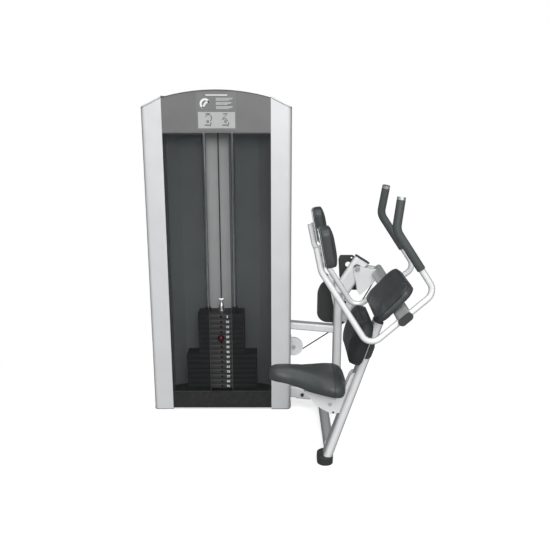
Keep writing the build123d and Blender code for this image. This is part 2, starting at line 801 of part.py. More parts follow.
@piece
def cam():
    """Disc sector with a cable groove, a lobe with two holes, and a hub."""
    x, z = PIVOT
    start, end, steps, rim_r = -96, -8, 30, CAM_R + 5
    angles = [radians(start + (end - start) * i / steps) for i in range(steps + 1)]
    sector = [PIVOT] + [(x + rim_r * cos(a), z + rim_r * sin(a)) for a in angles]
    lobe = [(305, 782), (312, 804), (376, 804), (390, 792), (408, 768),
            (420, 745), (425, 690), (384, 640), (376, 626), (312, 690)]
    body = plate(sector, CAM_Y0, CAM_Y1)
    body = body + plate(lobe, CAM_Y0, CAM_Y1, radius=8) + y_rod(x, z, 28, CAM_Y1, 22)
    body = (body - y_rod(353, 757, 60, 90, 14) - y_rod(370, 791, 60, 90, 5)
            - y_rod(x, z, 0, 100, SHAFT_R))
    groove_zone = plate([PIVOT, (x - 40, z - 250), (x + 250, z - 250), (x + 250, z + 125)],
                        60, 90)
    groove = y_ring(x, z, ROD_Y - GROOVE_HALF, ROD_Y + GROOVE_HALF,
                    CAM_R + 40, CAM_R - CABLE_R - 0.05)
    return body - (groove & groove_zone)


# ------------------------------------------------------------------ elbow and upper back pads
ELBOW_DOWN = Vector(0.1874, 0, -0.9823)      # along the pad
ELBOW_NORMAL = Vector(0.9823, 0, 0.1874)     # out of the pad


def elbow_point(side, spread, rise, down):
    centre = Vector(161.5, MODULE_Y + side * spread, 1019.0)
    return centre + ELBOW_NORMAL * (rise + 2.0) + ELBOW_DOWN * down


def elbow_board(side):
    board = slab(elbow_point(side, 237.5, -3.2, 3.0), ELBOW_NORMAL, 138, 98, 22, 3.2)
    for down in (44, 4):
        origin = elbow_point(side, 245, -14, down)
        plane = Plane(origin=origin, x_dir=(0, 1, 0), z_dir=ELBOW_NORMAL)
        board = board + extrude(plane * Rectangle(16, 26), amount=11)
    return board - arm_full[side]


@piece
def elbow_pads():
    pads = []
    for side in SIDES:
        pad = slab(elbow_point(side, 237.5, 0, 3.0), ELBOW_NORMAL, 150, 112, 24, 50)
        pads.append(fillet(pad.faces().sort_by(Axis.X)[-1].edges(), 8))
    return group(*pads)


def upper_back(near, far, height, width, radius):
    """Slab between two distances from the cross beam's axis."""
    cosine, sine = cos(radians(BACK_PAD_ANGLE)), sin(radians(BACK_PAD_ANGLE))
    normal = Vector(-sine, 0, cosine)
    centre = Vector(CROSS_BEAM[0], MODULE_Y, CROSS_BEAM[1])
    centre = centre + normal * near + Vector(cosine, 0, sine) * 1.5
    return slab(centre, normal, height, width, radius, far - near)


@piece
def arm_pad_boards():
    back_board = upper_back(14.0, 20.0, 156, 286, 30) - cross_full
    return group(*[elbow_board(side) for side in SIDES], back_board)


@piece
def upper_back_pad():
    pad = upper_back(20.0, 65.0, 194, 338, 44)
    return fillet(pad.faces().sort_by(Axis.X)[0].edges(), 12)


# ------------------------------------------------------------------ cables
def heading(start, end):
    return degrees(atan2(end[1] - start[1], end[0] - start[0]))


# the two low pulleys have equal grooves, so their tangent is square to the centre line
LOW_TANGENT = heading(LOW_PULLEY, GUIDE_PULLEY) - 90
CAM_DISTANCE = hypot(PIVOT[0] - GUIDE_PULLEY[0], PIVOT[1] - GUIDE_PULLEY[1])
RADIUS_STEP = CAM_R - LOW_GROOVE_R
# outer tangent on the right of the guide pulley and the cam
CAM_TANGENT = (heading(GUIDE_PULLEY, PIVOT) - 90
               - degrees(atan2(RADIUS_STEP, sqrt(CAM_DISTANCE ** 2 - RADIUS_STEP ** 2))))


def rim(wheel, angle):
    x, z, radius = wheel
    return Vector(x + radius * cos(radians(angle)), ROD_Y, z + radius * sin(radians(angle)))


def wrap(wheel, start, end):
    middle = (start + end) / 2
    return ThreePointArc(rim(wheel, start), rim(wheel, middle), rim(wheel, end)).edge()


def straight(wheel0, angle0, wheel1, angle1):
    return Line(rim(wheel0, angle0), rim(wheel1, angle1)).edge()


@piece
def drive_cable():
    left = (TOP_LEFT_X, TOP_Z, TOP_GROOVE_R)
    right = (TOP_RIGHT_X, TOP_Z, TOP_GROOVE_R)
    low, guide = (*LOW_PULLEY, LOW_GROOVE_R), (*GUIDE_PULLEY, LOW_GROOVE_R)
    path = Wire([
        wrap(left, 180, 90),
        straight(left, 90, right, 90),
        wrap(right, 90, 0),
        straight(right, 0, low, 180),
        wrap(low, 180, LOW_TANGENT + 360),
        straight(low, LOW_TANGENT + 360, guide, LOW_TANGENT),
        wrap(guide, LOW_TANGENT, CAM_TANGENT),
        straight(guide, CAM_TANGENT, (*PIVOT, CAM_R), CAM_TANGENT),
    ])
    section = Plane(origin=path @ 0, z_dir=path % 0) * Circle(CABLE_R)
    return sweep(section, path=path, transition=Transition.RIGHT)


@piece
def cam_cable():
    return tube(Wire([wrap((*PIVOT, CAM_R), CAM_TANGENT, -11)]), CABLE_R)


@piece
def stack_cable():
    return stem_rod(CONNECTOR_TOP, TOP_Z, CABLE_R)


# ------------------------------------------------------------------ write
os.makedirs("parts", exist_ok=True)
for build in PIECES:
    solids = [Pos(-ORIGIN_X, -ORIGIN_Y, 0) * solid for solid in build().solids()]
    part = solids[0] if len(solids) == 1 else Compound(children=solids)
    export_step(part, f"parts/{build.__name__}.step")
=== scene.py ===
"""Gym machine: a weight stack between two columns, with a saddle seat and swing arm before it.

Design places are in module millimetres: +X right, +Y away from the camera, +Z up from the
floor. The user sits facing -X, so "front" of the seat is -X and "front" of the stack is -Y.
place() turns module millimetres into the metres of the scene.
"""
import bpy
import bmesh
import math
import json
import numpy as np
from mathutils import Vector, Matrix
from mathutils.bvhtree import BVHTree


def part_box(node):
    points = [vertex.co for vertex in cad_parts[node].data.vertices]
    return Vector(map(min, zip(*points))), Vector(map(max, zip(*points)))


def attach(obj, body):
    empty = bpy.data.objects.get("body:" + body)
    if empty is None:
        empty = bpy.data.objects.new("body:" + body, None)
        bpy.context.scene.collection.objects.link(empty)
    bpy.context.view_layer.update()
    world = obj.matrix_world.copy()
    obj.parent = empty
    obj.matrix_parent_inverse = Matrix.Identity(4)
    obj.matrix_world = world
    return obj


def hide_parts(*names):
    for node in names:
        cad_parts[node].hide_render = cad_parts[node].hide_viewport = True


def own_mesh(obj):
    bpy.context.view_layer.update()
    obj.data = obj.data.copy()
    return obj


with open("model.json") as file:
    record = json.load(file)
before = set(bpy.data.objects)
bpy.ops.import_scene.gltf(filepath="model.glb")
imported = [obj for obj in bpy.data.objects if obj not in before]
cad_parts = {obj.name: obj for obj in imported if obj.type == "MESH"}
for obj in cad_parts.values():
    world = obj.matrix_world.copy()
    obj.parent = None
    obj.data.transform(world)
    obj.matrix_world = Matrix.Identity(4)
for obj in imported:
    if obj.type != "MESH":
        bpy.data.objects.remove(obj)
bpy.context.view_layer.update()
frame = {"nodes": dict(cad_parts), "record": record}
NODES = frame["nodes"]
scene = bpy.context.scene

# ------------------------------------------------------------------ driving dimensions, mm
DATUM = Vector((0.0165525, 0.31675, 0.0))   # module datum in the scene, metres
SEAT_Y = -510.0                             # mid-plane of the seat and swing arm
STACK_X = -285.0                            # mid-plane of the weight stack
LEFT_X = STACK_X - 254.0                    # inner faces of the columns
RIGHT_X = STACK_X + 254.0
PLATE_Z = 105.0                             # underside of the lowest stack plate
PLATE_PITCH = 26.9
TUBE_FOOT_X = 209.3                         # main tube axis at the floor
TUBE_TOP_X, TUBE_TOP_Z = 422.7, 652.0
BEAM_X, BEAM_Z = 488.0, 742.0               # cross beam axis
Y_AXIS = Vector((0, 1, 0))


def place(x, y, z):
    return Vector((x, y, z)) / 1000.0 + DATUM


# ------------------------------------------------------------------ shader helpers
MAT = {}


def empty_tree(owner):
    owner.use_nodes = True
    owner.node_tree.nodes.clear()
    return owner.node_tree


def new_material(name):
    MAT[name] = bpy.data.materials.new(name)
    return empty_tree(MAT[name])


def node(tree, kind, inputs=None, **settings):
    """Add a shader node; an input is either a socket to link or a value. Colours are RGB."""
    made = tree.nodes.new("ShaderNode" + kind)
    for key, value in settings.items():
        setattr(made, key, value)
    for key, value in (inputs or {}).items():
        socket = made.inputs[key]
        if isinstance(value, bpy.types.NodeSocket):
            tree.links.new(value, socket)
        else:
            socket.default_value = (*value, 1.0) if socket.type == "RGBA" else value
    return made


def noise(tree, vector, scale, detail):
    inputs = {"Scale": scale, "Detail": detail, "Roughness": 0.55, "Vector": vector}
    return node(tree, "TexNoise", inputs).outputs["Fac"]


def ramp(tree, value, lo, hi, out_lo=0.0, out_hi=1.0):
    inputs = {"From Min": lo, "From Max": hi, "To Min": out_lo, "To Max": out_hi, "Value": value}
    return node(tree, "MapRange", inputs).outputs["Result"]


def mix(tree, factor, first, second):
    # 6, 7 and output 2 are the colour sockets of the Mix node
    return node(tree, "Mix", {0: factor, 6: first, 7: second}, data_type="RGBA").outputs[2]


def calc(tree, operation, *values, clamp=False):
    inputs = dict(enumerate(values))
    return node(tree, "Math", inputs, operation=operation, use_clamp=clamp).outputs[0]


def bump(tree, height, distance, strength, normal=None):
    inputs = {"Distance": distance, "Strength": strength, "Height": height}
    if normal:
        inputs["Normal"] = normal
    return node(tree, "Bump", inputs).outputs["Normal"]


def mix_shader(tree, factor, first, second):
    return node(tree, "MixShader", {"Fac": factor, 1: first, 2: second}).outputs[0]


def shade(color, factor):
    return tuple(min(1.0, c * factor) for c in color)


def rib_shading(tree, col, vector, color, rib):
    """Painted highlight along the upper part of each cast plate and painted shade in the joint
    below it.
    """
    bottom, pitch = rib
    height = node(tree, "SeparateXYZ", {0: vector}).outputs["Z"]
    level = calc(tree, "FRACT", calc(tree, "DIVIDE", calc(tree, "SUBTRACT", height, bottom), pitch))
    joint_shade = ramp(tree, level, lo=0.35, hi=0.0, out_hi=0.72)
    col = mix(tree, joint_shade, col, shade(color, 0.12))
    return mix(tree, ramp(tree, level, lo=0.45, hi=0.9, out_hi=0.5), col, shade(color, 2.0))


def leather_normal(tree, vector, normal, depth):
    """Wobbled cell grain over a slow unevenness."""
    wobble = node(tree, "TexNoise", {"Scale": 240.0, "Vector": vector}).outputs["Color"]
    shift = node(tree, "VectorMath", {0: wobble, "Scale": 0.0016}, operation="SCALE").outputs[0]
    moved = node(tree, "VectorMath", {0: vector, 1: shift}, operation="ADD").outputs[0]
    cells = node(tree, "TexVoronoi", {"Scale": 520.0, "Vector": moved}, feature="DISTANCE_TO_EDGE")
    height = ramp(tree, cells.outputs["Distance"], lo=0.0, hi=0.18)
    normal = bump(tree, height, distance=depth, strength=0.45, normal=normal)
    slow = noise(tree, vector, scale=38.0, detail=3.0)
    return bump(tree, slow, distance=0.0012, strength=0.25, normal=normal)


def surface(name, color, rough, metal=0.0, var=0.06, grain=900.0, grain_h=4e-5, coat=0.0,
            edge=8e-4, wear=0.0, wear_grey=0.1, smudge=0.08, leather=0.0, streak=0.0,
            dust=0.0, spec=0.5, grazing_shade=0.0, rib=None):
    """Opaque finish. Lengths are metres.

    color: RGB or one grey level      var: colour variation
    grain, grain_h: fine bump scale and height     edge: radius of softened edges
    wear, wear_grey: rubbed edges     smudge: roughness variation
    leather, streak: depth of leather cells and of upright brush marks
    dust: on upward faces             fall: painted shade at grazing angles
    rib: bottom and pitch of the stacked plates, for painted highlights and painted shade on them
    """
    if isinstance(color, float):
        color = (color,) * 3
    tree = new_material(name)
    vector = node(tree, "TexCoord").outputs["Object"]
    broad = noise(tree, vector, scale=9.0, detail=3.0)
    mottle = noise(tree, vector, scale=55.0, detail=5.0)
    fine = noise(tree, vector, scale=grain, detail=2.0)

    col = mix(tree, ramp(tree, broad, lo=0.35, hi=0.65),
              shade(color, 1 - var * 1.6), shade(color, 1 + var))
    patches = ramp(tree, mottle, lo=0.45, hi=0.75, out_hi=var * 2.0)
    col = mix(tree, patches, col, shade(color, 0.8))
    if wear or dust:
        geometry = node(tree, "NewGeometry")
    if wear:
        ridge = ramp(tree, geometry.outputs["Pointiness"], lo=0.53, hi=0.62)
        rubbed = ramp(tree, mottle, lo=0.42, hi=0.62, out_hi=wear)
        col = mix(tree, calc(tree, "MULTIPLY", ridge, rubbed), col, (wear_grey,) * 3)
    if dust:
        facing = node(tree, "SeparateXYZ", {0: geometry.outputs["Normal"]}).outputs["Z"]
        settled = ramp(tree, facing, lo=0.6, hi=1.0, out_hi=dust)
        col = mix(tree, calc(tree, "MULTIPLY", settled, mottle), col, (0.5, 0.49, 0.47))
    if rib:
        col = rib_shading(tree, col, vector, color, rib)
    # painted shade: the colour darkens toward grazing angles, toward each part's outline
    if grazing_shade:
        lo, hi = (0.12, 0.85) if metal else (0.35, 0.95)
        grazing = node(tree, "LayerWeight", {"Blend": 0.5}).outputs["Facing"]
        col = mix(tree, ramp(tree, grazing, lo, hi, out_hi=grazing_shade), col, shade(color, 0.25))

    smudged = ramp(tree, broad, lo=0.3, hi=0.7, out_lo=rough - smudge * 0.5, out_hi=rough + smudge)
    speckle = ramp(tree, fine, lo=0.3, hi=0.7, out_lo=-0.03, out_hi=0.03)
    roughness = calc(tree, "ADD", smudged, speckle, clamp=True)

    normal = node(tree, "Bevel", {"Radius": edge}, samples=4).outputs["Normal"]
    if streak:
        drawn = node(tree, "Mapping", {"Scale": (1.0, 1.0, 0.02), "Vector": vector})
        lines = noise(tree, drawn.outputs["Vector"], scale=1400.0, detail=2.0)
        normal = bump(tree, lines, distance=streak, strength=0.5, normal=normal)
    if leather:
        normal = leather_normal(tree, vector, normal, leather)
    normal = bump(tree, fine, distance=grain_h, strength=0.6, normal=normal)
    shader = node(tree, "BsdfPrincipled", {
        "Base Color": col, "Roughness": roughness, "Metallic": metal,
        "Specular IOR Level": spec, "Coat Weight": coat, "Coat Roughness": 0.18,
        "Normal": normal, "Coat Normal": normal})
    node(tree, "OutputMaterial", {"Surface": shader.outputs["BSDF"]})


def smoked_shield():
    """Tinted clear sheet with a soft reflection."""
    tree = new_material("smoked")
    vector = node(tree, "TexCoord").outputs["Object"]
    clear = node(tree, "BsdfTransparent", {"Color": (0.675, 0.688, 0.691)})
    haze = noise(tree, vector, scale=6.0, detail=3.0)
    wave = noise(tree, vector, scale=3.0, detail=1.0)
    gloss = node(tree, "BsdfGlossy", {
        "Color": (0.9, 0.92, 0.93),
        "Roughness": ramp(tree, haze, lo=0.3, hi=0.7, out_lo=0.06, out_hi=0.14),
        "Normal": bump(tree, wave, distance=0.0004, strength=0.05)})
    fresnel = node(tree, "Fresnel", {"IOR": 1.45}).outputs[0]
    mirror = ramp(tree, fresnel, lo=0.0, hi=1.0, out_hi=0.55)
    shader = mix_shader(tree, mirror, clear.outputs[0], gloss.outputs[0])
    node(tree, "OutputMaterial", {"Surface": shader})


# ------------------------------------------------------------------ materials
# painted shade: several finishes below darken toward their outlines at grazing angles
surface("frame_silver", color=(0.90, 0.904, 0.91), rough=0.38, metal=0.15, var=0.012,
        grain=1500, grain_h=1.2e-5, coat=0.3, dust=0.03, grazing_shade=0.95)
surface("tower_silver", color=(0.74, 0.742, 0.746), rough=0.42, metal=0.15, var=0.012,
        grain=1300, grain_h=1.2e-5, coat=0.2, edge=0.0016, dust=0.04, grazing_shade=0.85)
surface("header_grey", color=0.172, rough=0.46, metal=0.15, var=0.04, grain=1200, coat=0.1)
surface("dark_cover", color=(0.026, 0.026, 0.027), rough=0.58, spec=0.2, var=0.03,
        grain=1100, grain_h=5e-5, wear=0.12, edge=0.0012, dust=0.03)
surface("cover_grey", color=0.056, rough=0.5, spec=0.3, var=0.04,
        grain=1100, grain_h=5e-5, edge=0.0012, dust=0.03)
surface("arch_dark", color=0.085, rough=0.42, grain=1100, grain_h=6e-5)
surface("shroud_grey", color=(0.39, 0.396, 0.396), rough=0.55, metal=0.1, var=0.03, grain=1200)
surface("steel_rod", color=(0.80, 0.80, 0.81), rough=0.2, grazing_shade=0.85, metal=0.9, var=0.02,
        grain=1600, grain_h=1e-5, streak=3e-5, smudge=0.05)
# painted highlight on the upper part of each plate and painted shade at its bottom joint, through
# rib
surface("cast_weight", color=(0.043, 0.043, 0.044), rough=0.55, spec=0.2, var=0.05,
        grain=700, grain_h=2e-5, edge=0.0012, dust=0.03,
        rib=(PLATE_Z / 1000, PLATE_PITCH / 1000))
surface("bright_steel", color=(0.72, 0.72, 0.73), rough=0.3, metal=0.8, var=0.03,
        grain=1400, grain_h=1e-5, edge=6e-4)
surface("bolt_black", color=(0.03, 0.03, 0.032), rough=0.4, metal=0.4, var=0.08,
        grain=1400, grain_h=3e-5, wear=0.4, wear_grey=0.2, edge=6e-4)
surface("rubber_black", color=(0.032, 0.032, 0.033), rough=0.62, var=0.12,
        grain_h=1.6e-4, wear=0.2, wear_grey=0.09, edge=0.0016, dust=0.05)
surface("grip_rubber", color=(0.068, 0.075, 0.076), rough=0.5,
        grain=850, grain_h=1.4e-4, edge=0.002, grazing_shade=0.8)
surface("vinyl", color=(0.046, 0.0515, 0.0535), rough=0.36, grazing_shade=0.55, var=0.05,
        grain=1500, grain_h=3e-5, leather=2.2e-4, smudge=0.07)
# darker copy of the vinyl: painted shade on the lumbar cushion, and the colour of the welt cords
surface("vinyl_dark", color=(0.023, 0.026, 0.027), rough=0.45, spec=0.3, var=0.08,
        grain=1500, grain_h=3e-5, leather=2e-4, smudge=0.07)
surface("thread", color=(0.06, 0.065, 0.067), rough=0.7, var=0.1, grain=4000, grain_h=8e-5)
surface("maroon", color=(0.036, 0.0006, 0.005), rough=0.26, spec=0.25,
        grain_h=1e-5, coat=0.12, smudge=0.04, grazing_shade=0.7)
surface("maroon_dull", color=(0.055, 0.006, 0.012), rough=0.4, var=0.08)
surface("pulley_plastic", color=(0.90, 0.905, 0.91), rough=0.42, var=0.03,
        grain=1000, grain_h=6e-5, edge=0.0012)
surface("cable", color=(0.022, 0.022, 0.023), rough=0.45, var=0.1, grain=1500, grain_h=5e-5)
surface("board", color=(0.62, 0.625, 0.63), rough=0.45, var=0.03,
        grain=1200, grain_h=5e-5, edge=0.001)
surface("bush", color=0.1, rough=0.5, var=0.08, grain=1200, grain_h=5e-5)
surface("placard", color=(0.185, 0.185, 0.184), rough=0.4, var=0.03,
        grain=1600, grain_h=2e-5, coat=0.3)
surface("placard_light", color=0.47, rough=0.42, var=0.02, grain=1600, grain_h=2e-5)
surface("placard_ink", color=0.08, rough=0.45, var=0.05, grain=1600, grain_h=2e-5)
surface("placard_white", color=0.82, rough=0.45, var=0.02, grain=1600, grain_h=2e-5)
surface("numeral", color=0.9, rough=0.45, var=0.02, grain=1600, grain_h=2e-5, edge=1e-4)
smoked_shield()
surface("shield_edge", color=(0.07, 0.074, 0.076), rough=0.3, var=0.02, grain=1600, grain_h=2e-5)
surface("staple", color=(0.85, 0.85, 0.86), rough=0.25, metal=0.6, var=0.03,
        grain=1500, grain_h=1e-5, edge=2e-4)
surface("light_trim", color=(0.5, 0.51, 0.51), rough=0.3, var=0.02, grain=1600, grain_h=2e-5)

# pieces whose finish differs from the one their slot names
FINISH_OF = {
    "arch_trim": "arch_dark", "rod_collars": "maroon_dull", "front_shields": "smoked",
    "frame_bolts": "bolt_black", "pulley_guard": "cover_grey", "cross_beam_cap": "cover_grey",
    "tube_caps": "cover_grey", "cam": "cover_grey"}


def paint_frame():
    slot_of = {part["node"]: part["material_slot"] for part in frame["record"]["subparts"]}
    for name, piece in NODES.items():
        finish = FINISH_OF.get(name, slot_of[name] if slot_of[name] in MAT else "frame_silver")
        piece.data.materials.clear()
        piece.data.materials.append(MAT[finish])
        for face in piece.data.polygons:
            face.material_index = 0
    # the upper bolts are plated, the low link bolts stay black
    bolts = NODES["frame_bolts"]
    bolts.data.materials.append(MAT["bright_steel"])
    for face in bolts.data.polygons:
        if (bolts.matrix_world @ face.center).z > 0.2:
            face.material_index = 1


paint_frame()


# ------------------------------------------------------------------ mesh helpers
# A geometry is a pair (vertices in metres, faces).
def mesh_obj(name, geometry, material, smooth=True):
    verts, faces = geometry
    mesh = bpy.data.meshes.new(name)
    mesh.from_pydata([tuple(v) for v in verts], [], faces)
    mesh.validate()
    bm = bmesh.new()
    bm.from_mesh(mesh)
    bmesh.ops.recalc_face_normals(bm, faces=bm.faces)
    bm.to_mesh(mesh)
    bm.free()
    obj = bpy.data.objects.new(name, mesh)
    scene.collection.objects.link(obj)
    mesh.materials.append(MAT[material])
    if smooth:
        for face in mesh.polygons:
            face.use_smooth = True
    return obj


def mount(obj, body):
    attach(obj, body)


def add(name, geometry, material, body, smooth=True):
    obj = mesh_obj(name, geometry, material, smooth)
    mount(obj, body)
    return obj


def merged(parts):
    verts, faces = [], []
    for part_verts, part_faces in parts:
        first = len(verts)
        verts += part_verts
        faces += [tuple(i + first for i in face) for face in part_faces]
    return verts, faces


def ring_faces(rings, size, closed=False):
    """Quads between successive rings of vertices, with end caps unless closed."""
    faces = []
    for i in range(rings if closed else rings - 1):
        here, there = i * size, (i + 1) % rings * size
        for k in range(size):
            after = (k + 1) % size
            faces.append((here + k, here + after, there + after, there + k))
    if not closed:
        faces.append(tuple(range(size - 1, -1, -1)))
        faces.append(tuple(range((rings - 1) * size, rings * size)))
    return faces


def tube(points, radius, sides, closed=False):
    """A round cord along points, in metres."""
    path = [Vector(p) for p in points]
    count = len(path)
    verts = []
    across = None
    for i in range(count):
        before = path[i - 1] if (i > 0 or closed) else path[i]
        after = path[(i + 1) % count] if (i < count - 1 or closed) else path[i]
        along = (after - before).normalized()
        if across is None:
            # any direction that no path runs along will do to start
            across = along.cross(Vector((0.137, 0.29, 0.94)).normalized()).normalized()
        else:
            across = (across - along * across.dot(along)).normalized()
        up = along.cross(across)
        for k in range(sides):
            angle = 2 * math.pi * k / sides
            verts.append(path[i] + (across * math.cos(angle) + up * math.sin(angle)) * radius)
    return verts, ring_faces(count, sides, closed)


def outline(width, height, radius, count=24):
    """Rounded rectangle about the origin, count points to a corner."""
    w, h = width / 2, height / 2
    r = max(min(radius, w - 1e-4, h - 1e-4), 1e-4)
    points = []
    for x, y, start in ((w - r, h - r, 0), (-w + r, h - r, 90),
                        (-w + r, -h + r, 180), (w - r, -h + r, 270)):
        for k in range(count):
            angle = math.radians(start + 90 * k / (count - 1))
            points.append((x + r * math.cos(angle), y + r * math.sin(angle)))
    return points


def walk(path, start, step, closed=True):
    """Yield (segment, point, direction) at even steps along a path."""
    travelled, due = 0.0, start
    for i in range(len(path) if closed else len(path) - 1):
        here, there = path[i], path[(i + 1) % len(path)]
        length = (there - here).length
        if length < 1e-6:
            continue
        along = (there - here) / length
        while due < travelled + length:
            yield i, here + along * (due - travelled), along
            due += step
        travelled += length


# ------------------------------------------------------------------ soft bodies
VOXEL = 0.005          # remesh size, m
CLOTH_FRAMES = 20
CLOTH = {
    "quality": 4, "mass": 0.35, "tension_stiffness": 25, "compression_stiffness": 25,
    "shear_stiffness": 8, "bending_stiffness": 0.6, "use_pressure": True,
    "uniform_pressure_force": 4.0, "vertex_group_mass": "held"}


def remesh(obj):
    modifier = obj.modifiers.new("remesh", "REMESH")
    modifier.mode = "VOXEL"
    modifier.voxel_size = VOXEL
    modifier.use_smooth_shade = True
    graph = bpy.context.evaluated_depsgraph_get()
    mesh = bpy.data.meshes.new_from_object(obj.evaluated_get(graph))
    obj.modifiers.clear()
    old = obj.data
    obj.data = mesh
    mesh.materials.clear()
    for material in old.materials:
        mesh.materials.append(material)
    mesh.name = old.name + "_r"
    for face in mesh.polygons:
        face.use_smooth = True


def relax(obj):
    bm = bmesh.new()
    bm.from_mesh(obj.data)
    for _ in range(2):
        bmesh.ops.smooth_vert(bm, verts=bm.verts, factor=0.5,
                              use_axis_x=True, use_axis_y=True, use_axis_z=True)
    bm.to_mesh(obj.data)
    bm.free()


def coordinates(mesh):
    flat = np.zeros(len(mesh.vertices) * 3, np.float32)
    mesh.vertices.foreach_get("co", flat)
    return flat.reshape(-1, 3).astype(float)


def inflate(obj, pinned, cap):
    """Blow the mesh up as cloth with its back held; no point moves further than cap."""
    rest = coordinates(obj.data)
    group = obj.vertex_groups.new(name="held")
    for i, p in enumerate(rest):
        if pinned(Vector(p)):
            group.add([i], 1.0, "REPLACE")
    cloth = obj.modifiers.new("Cloth", "CLOTH")
    for key, value in CLOTH.items():
        setattr(cloth.settings, key, value)
    cloth.settings.effector_weights.gravity = 0.0
    cloth.collision_settings.use_collision = False
    cloth.collision_settings.use_self_collision = False
    cloth.point_cache.frame_start = 1
    cloth.point_cache.frame_end = CLOTH_FRAMES
    for f in range(1, CLOTH_FRAMES + 1):
        scene.frame_set(f)
    graph = bpy.context.evaluated_depsgraph_get()
    blown = coordinates(obj.evaluated_get(graph).data)
    obj.modifiers.clear()
    scene.frame_set(1)
    move = blown - rest
    length = np.linalg.norm(move, axis=1)
    keep = np.where(length > cap, cap / np.maximum(length, 1e-9), 1.0)
    rest = rest + move * keep[:, None]
    obj.data.vertices.foreach_set("co", rest.astype(np.float32).ravel())
    obj.data.update()
    relax(obj)


def soften(obj, pinned, cap):
    remesh(obj)
    relax(obj)
    inflate(obj, pinned, cap)
    smooth = obj.modifiers.new("sub", "SUBSURF")
    smooth.levels = 1
    smooth.render_levels = 1
    obj.vertex_groups.clear()


def skin_of(obj):
    graph = bpy.context.evaluated_depsgraph_get()
    shaped = obj.evaluated_get(graph)
    mesh = shaped.to_mesh()
    tree = BVHTree.FromPolygons([v.co.copy() for v in mesh.vertices],
                                [tuple(p.vertices) for p in mesh.polygons])
    shaped.to_mesh_clear()
    return tree


def seam(name, skin, points, body, closed=True, lift=0.0, stitch=True):
    """Welt cord laid on the skin, with a row of stitches beside it. Lengths in metres."""
    cord_r, thread_r, pitch, beside = 0.0011, 0.0004, 0.0052, 0.0026
    path, normals = [], []
    for p in points:
        spot, normal, _, _ = skin.find_nearest(p)
        path.append(spot + normal * lift)
        normals.append(normal)
    add(name, tube(path, cord_r, 8, closed), "vinyl_dark", body)
    if not stitch:
        return
    parts = []
    for i, point, along in walk(path, start=0.002, step=pitch, closed=closed):
        normal = normals[i]
        side = along.cross(normal).normalized()
        mid = point + side * beside - normal * (lift - 0.0002)
        half = along * 0.0016
        parts.append(tube([mid - half, mid + normal * 0.0004, mid + half], thread_r, 5))
    add(name + "_stitches", merged(parts), "thread", body)


# ------------------------------------------------------------------ cushions
def on_pad(origin, axes, across, up, out):
    """Point on a cushion from millimetres along its axes."""
    return origin + (axes[0] * across + axes[1] * up + axes[2] * out) / 1000.0


def cushion(origin, axes, width, height, corner, thick, crown, edge, wall):
    """Crowned cushion from its back, out = 0, to its front, out = thick, in mm."""
    belly = 2.0
    # rings of (out, inset): tucked back, bulging wall, rounded edge, crowned front
    rings = [(0.0, 9.0), (0.0, 4.0), (1.5, 1.0), (4.0, 0.0),
             (wall * 0.35, -belly * 0.8), (wall * 0.62, -belly), (wall, 0.0)]
    for k in range(1, 7):
        angle = math.pi / 2 * k / 6
        rings.append((wall + edge * 0.75 * math.sin(angle), edge * (1 - math.cos(angle))))
    full_inset = min(width, height) / 2 - 2
    out0, inset0 = rings[-1]
    for k in range(1, 11):
        s = k / 10
        rings.append((out0 + crown * (1 - (1 - s) ** 2.2), inset0 + (full_inset - inset0) * s))
    verts = []
    for out, inset in rings:
        radius = max(corner - inset * 0.8, 3.0)
        for a, b in outline(width - 2 * inset, height - 2 * inset, radius):
            verts.append(on_pad(origin, axes, a, b, out))
    return verts, ring_faces(len(rings), len(verts) // len(rings))


def pad(name, replaced, body, origin, axes, width, height, corner, thick, crown, edge,
        cap=0.005, material="vinyl"):
    """Build one cushion with its seams and return its skin. axes: across, up, out."""
    wall = thick - crown - edge * 0.75
    shape = cushion(origin, axes, width, height, corner, thick, crown, edge, wall)
    obj = mesh_obj(name, shape, material)
    soften(obj, lambda p: (p - origin).dot(axes[2]) < 0.004, cap)
    mount(obj, body)
    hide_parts(replaced)
    skin = skin_of(obj)
    ring = [on_pad(origin, axes, a, b, wall + 2.0)
            for a, b in outline(width + 2, height + 2, corner + 1, 30)]
    seam(name + "_front_seam", skin, ring, body, lift=0.0002)
    ring = [on_pad(origin, axes, a, b, 5.5)
            for a, b in outline(width + 1, height + 1, corner, 30)]
    seam(name + "_back_seam", skin, ring, body, stitch=False)
    return skin


# unit direction up the main tube
TUBE_X, TUBE_Z = TUBE_TOP_X - TUBE_FOOT_X, TUBE_TOP_Z
TUBE_LENGTH = math.hypot(TUBE_X, TUBE_Z)
TUBE_X, TUBE_Z = TUBE_X / TUBE_LENGTH, TUBE_Z / TUBE_LENGTH


def on_tube(z, offset):
    """(x, z) on the main tube axis at height z, moved square to it, positive rearward."""
    t = z / TUBE_Z
    return TUBE_FOOT_X + TUBE_X * t + TUBE_Z * offset, z - TUBE_X * offset


def lumbar_pad():
    x, z = on_tube(575.0, -39.0)
    axes = (Y_AXIS, Vector((TUBE_X, 0, TUBE_Z)).normalized(),
            Vector((-TUBE_Z, 0, TUBE_X)).normalized())
    # painted shade: the lumbar cushion takes the darker copy of the vinyl, as its face turns from
    # the light
    pad("lumbar_cushion", "lumbar_pad", "frame", place(x, SEAT_Y, z), axes, width=337,
        height=185, corner=58, thick=61, crown=11, edge=14, material="vinyl_dark")


def upper_back_pad():
    tilt = math.radians(47)
    stand_off, shift_up = 20.2, 1.5
    up_x, up_z = math.cos(tilt), math.sin(tilt)
    x = BEAM_X - up_z * stand_off + up_x * shift_up
    z = BEAM_Z + up_x * stand_off + up_z * shift_up
    axes = (Y_AXIS, Vector((up_x, 0, up_z)).normalized(), Vector((-up_z, 0, up_x)).normalized())
    pad("upper_back_cushion", "upper_back_pad", "swing_arm", place(x, SEAT_Y, z), axes,
        width=335, height=191, corner=44, thick=46, crown=8, edge=12)


lumbar_pad()
upper_back_pad()

